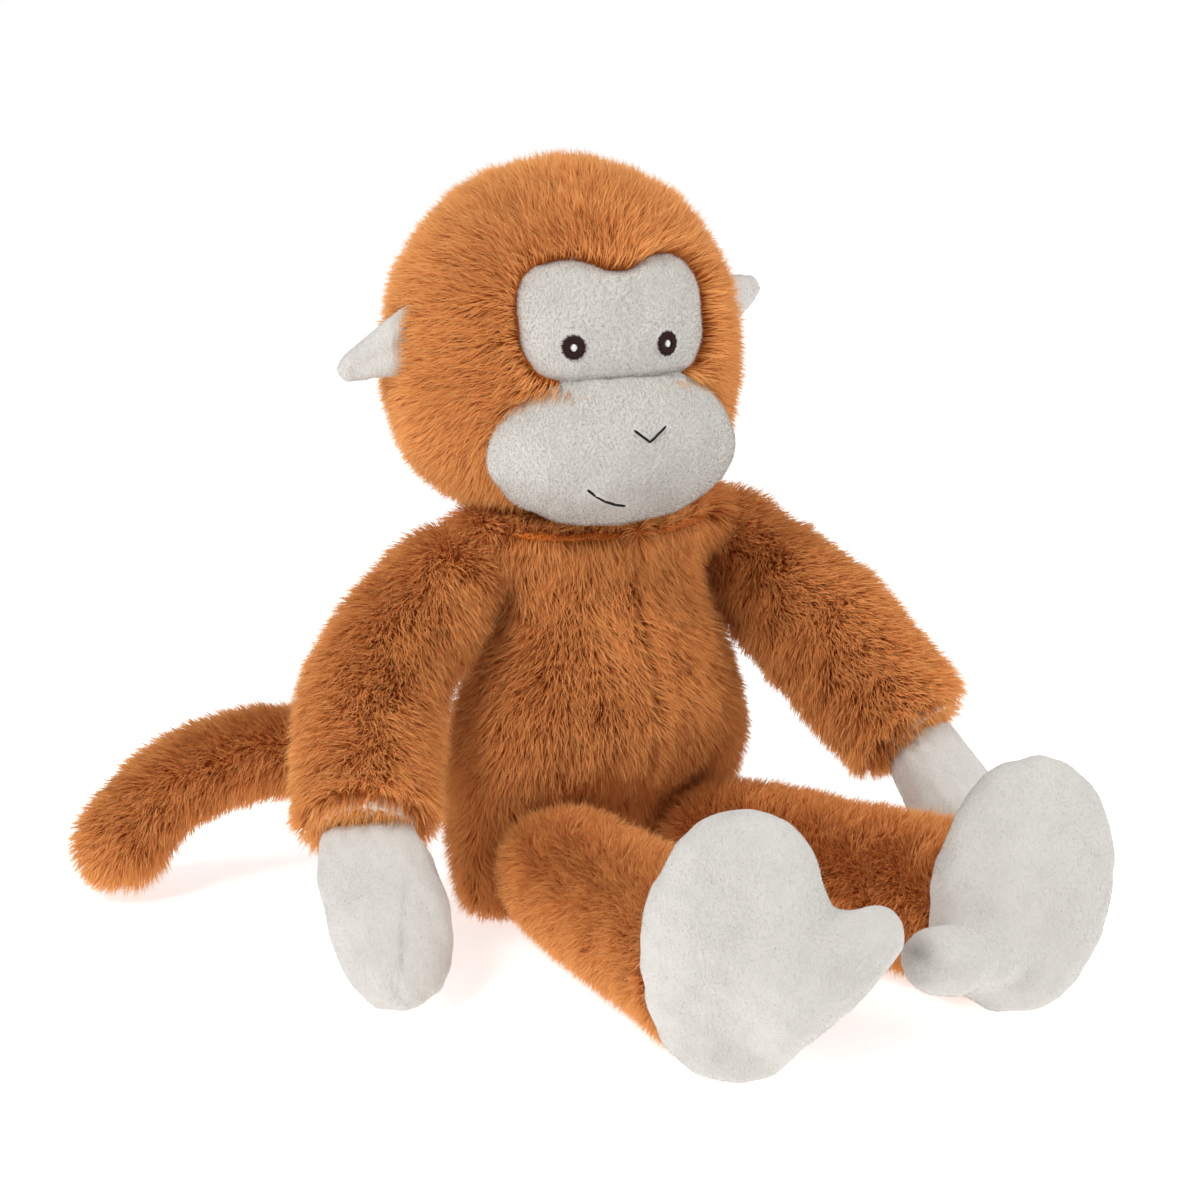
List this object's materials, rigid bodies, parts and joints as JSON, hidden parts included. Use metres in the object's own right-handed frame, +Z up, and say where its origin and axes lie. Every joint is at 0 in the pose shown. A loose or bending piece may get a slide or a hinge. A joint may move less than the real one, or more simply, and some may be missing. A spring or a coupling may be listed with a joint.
{
  "type": "stuffed_monkey",
  "caption": "Sitting plush monkey in long caramel fur, with a white face, ears, mitten hands and feet, a stitched face and a curled tail",
  "frame": {"origin": "middle of the flat seat, on the surface that the toy sits on", "axes": "the toy faces -Y, its left side is at +X, and +Z is up; the seat faces -Z"},
  "size_m": [0.3354, 0.3449, 0.3098],
  "materials": {
    "fur": "long-pile caramel plush, soft and matte",
    "white_plush": "short-pile off-white plush, matte",
    "thread": "dark brown embroidery thread, slight sheen",
    "glint": "white embroidery thread",
    "filling": "white polyester fibre filling, hidden",
    "pellets": "sewn cotton bag of plastic pellets, hidden"
  },
  "bodies": {
    "torso": {"seat_bean_bag": "pellets", "torso_back_panel": "fur", "torso_front_left_panel": "fur", "torso_front_right_panel": "fur", "torso_stuffing": "filling"},
    "head": {"eye_glint_left": "glint", "eye_glint_right": "glint", "eye_left": "thread", "eye_right": "thread", "face_patch": "white_plush", "head_left_panel": "fur", "head_right_panel": "fur", "head_stuffing": "filling", "mouth_stitch": "thread", "muzzle_left": "white_plush", "muzzle_right": "white_plush", "nose_stitch": "thread"},
    "ear_left": {"ear_left_back": "white_plush", "ear_left_front": "white_plush"},
    "ear_right": {"ear_right_back": "white_plush", "ear_right_front": "white_plush"},
    "arm_left": {"arm_left_back_panel": "fur", "arm_left_front_panel": "fur", "arm_left_stuffing": "filling", "hand_left_back": "white_plush", "hand_left_palm": "white_plush", "hand_left_stuffing": "filling"},
    "arm_right": {"arm_right_back_panel": "fur", "arm_right_front_panel": "fur", "arm_right_stuffing": "filling", "hand_right_back": "white_plush", "hand_right_palm": "white_plush", "hand_right_stuffing": "filling"},
    "leg_left": {"foot_left_heel": "white_plush", "foot_left_sole": "white_plush", "foot_left_stuffing": "filling", "foot_left_toe": "white_plush", "foot_left_top": "white_plush", "leg_left_stuffing": "filling", "leg_left_under_panel": "fur", "leg_left_upper_panel": "fur"},
    "leg_right": {"foot_right_heel": "white_plush", "foot_right_sole": "white_plush", "foot_right_stuffing": "filling", "foot_right_toe": "white_plush", "foot_right_top": "white_plush", "leg_right_stuffing": "filling", "leg_right_under_panel": "fur", "leg_right_upper_panel": "fur"},
    "tail": {"tail_stuffing": "filling", "tail_under_panel": "fur", "tail_upper_panel": "fur"}
  },
  "joints": [
    {"name": "neck_turn", "type": "hinge", "parent": "torso", "child": "head", "pos_m": [-0.009, 0.012, 0.1695], "axis": [0, 0, 1], "range_deg": [-50, 50]},
    {"name": "ear_left_flap", "type": "hinge", "parent": "head", "child": "ear_left", "pos_m": [0.06621, 0.00542, 0.2485], "axis": [0, 0, 1], "range_deg": [-35, 35]},
    {"name": "ear_right_flap", "type": "hinge", "parent": "head", "child": "ear_right", "pos_m": [-0.08421, 0.01858, 0.2405], "axis": [0, 0, 1], "range_deg": [-35, 35]},
    {"name": "shoulder_left_swing", "type": "hinge", "parent": "torso", "child": "arm_left", "pos_m": [0.06745, 0.004, 0.146], "axis": [1, 0, 0], "range_deg": [-92, 50]},
    {"name": "shoulder_right_swing", "type": "hinge", "parent": "torso", "child": "arm_right", "pos_m": [-0.06745, 0.004, 0.146], "axis": [1, 0, 0], "range_deg": [-115, 40]},
    {"name": "hip_left_swing", "type": "hinge", "parent": "torso", "child": "leg_left", "pos_m": [0.038, -0.042, 0.0305], "axis": [1, 0, 0], "range_deg": [-30, 80]},
    {"name": "hip_right_swing", "type": "hinge", "parent": "torso", "child": "leg_right", "pos_m": [-0.038, -0.042, 0.0305], "axis": [1, 0, 0], "range_deg": [-30, 80]},
    {"name": "tail_swing", "type": "hinge", "parent": "torso", "child": "tail", "pos_m": [-0.01, 0.065, 0.03], "axis": [0, 0, 1], "range_deg": [-110, 8]}
  ]
}
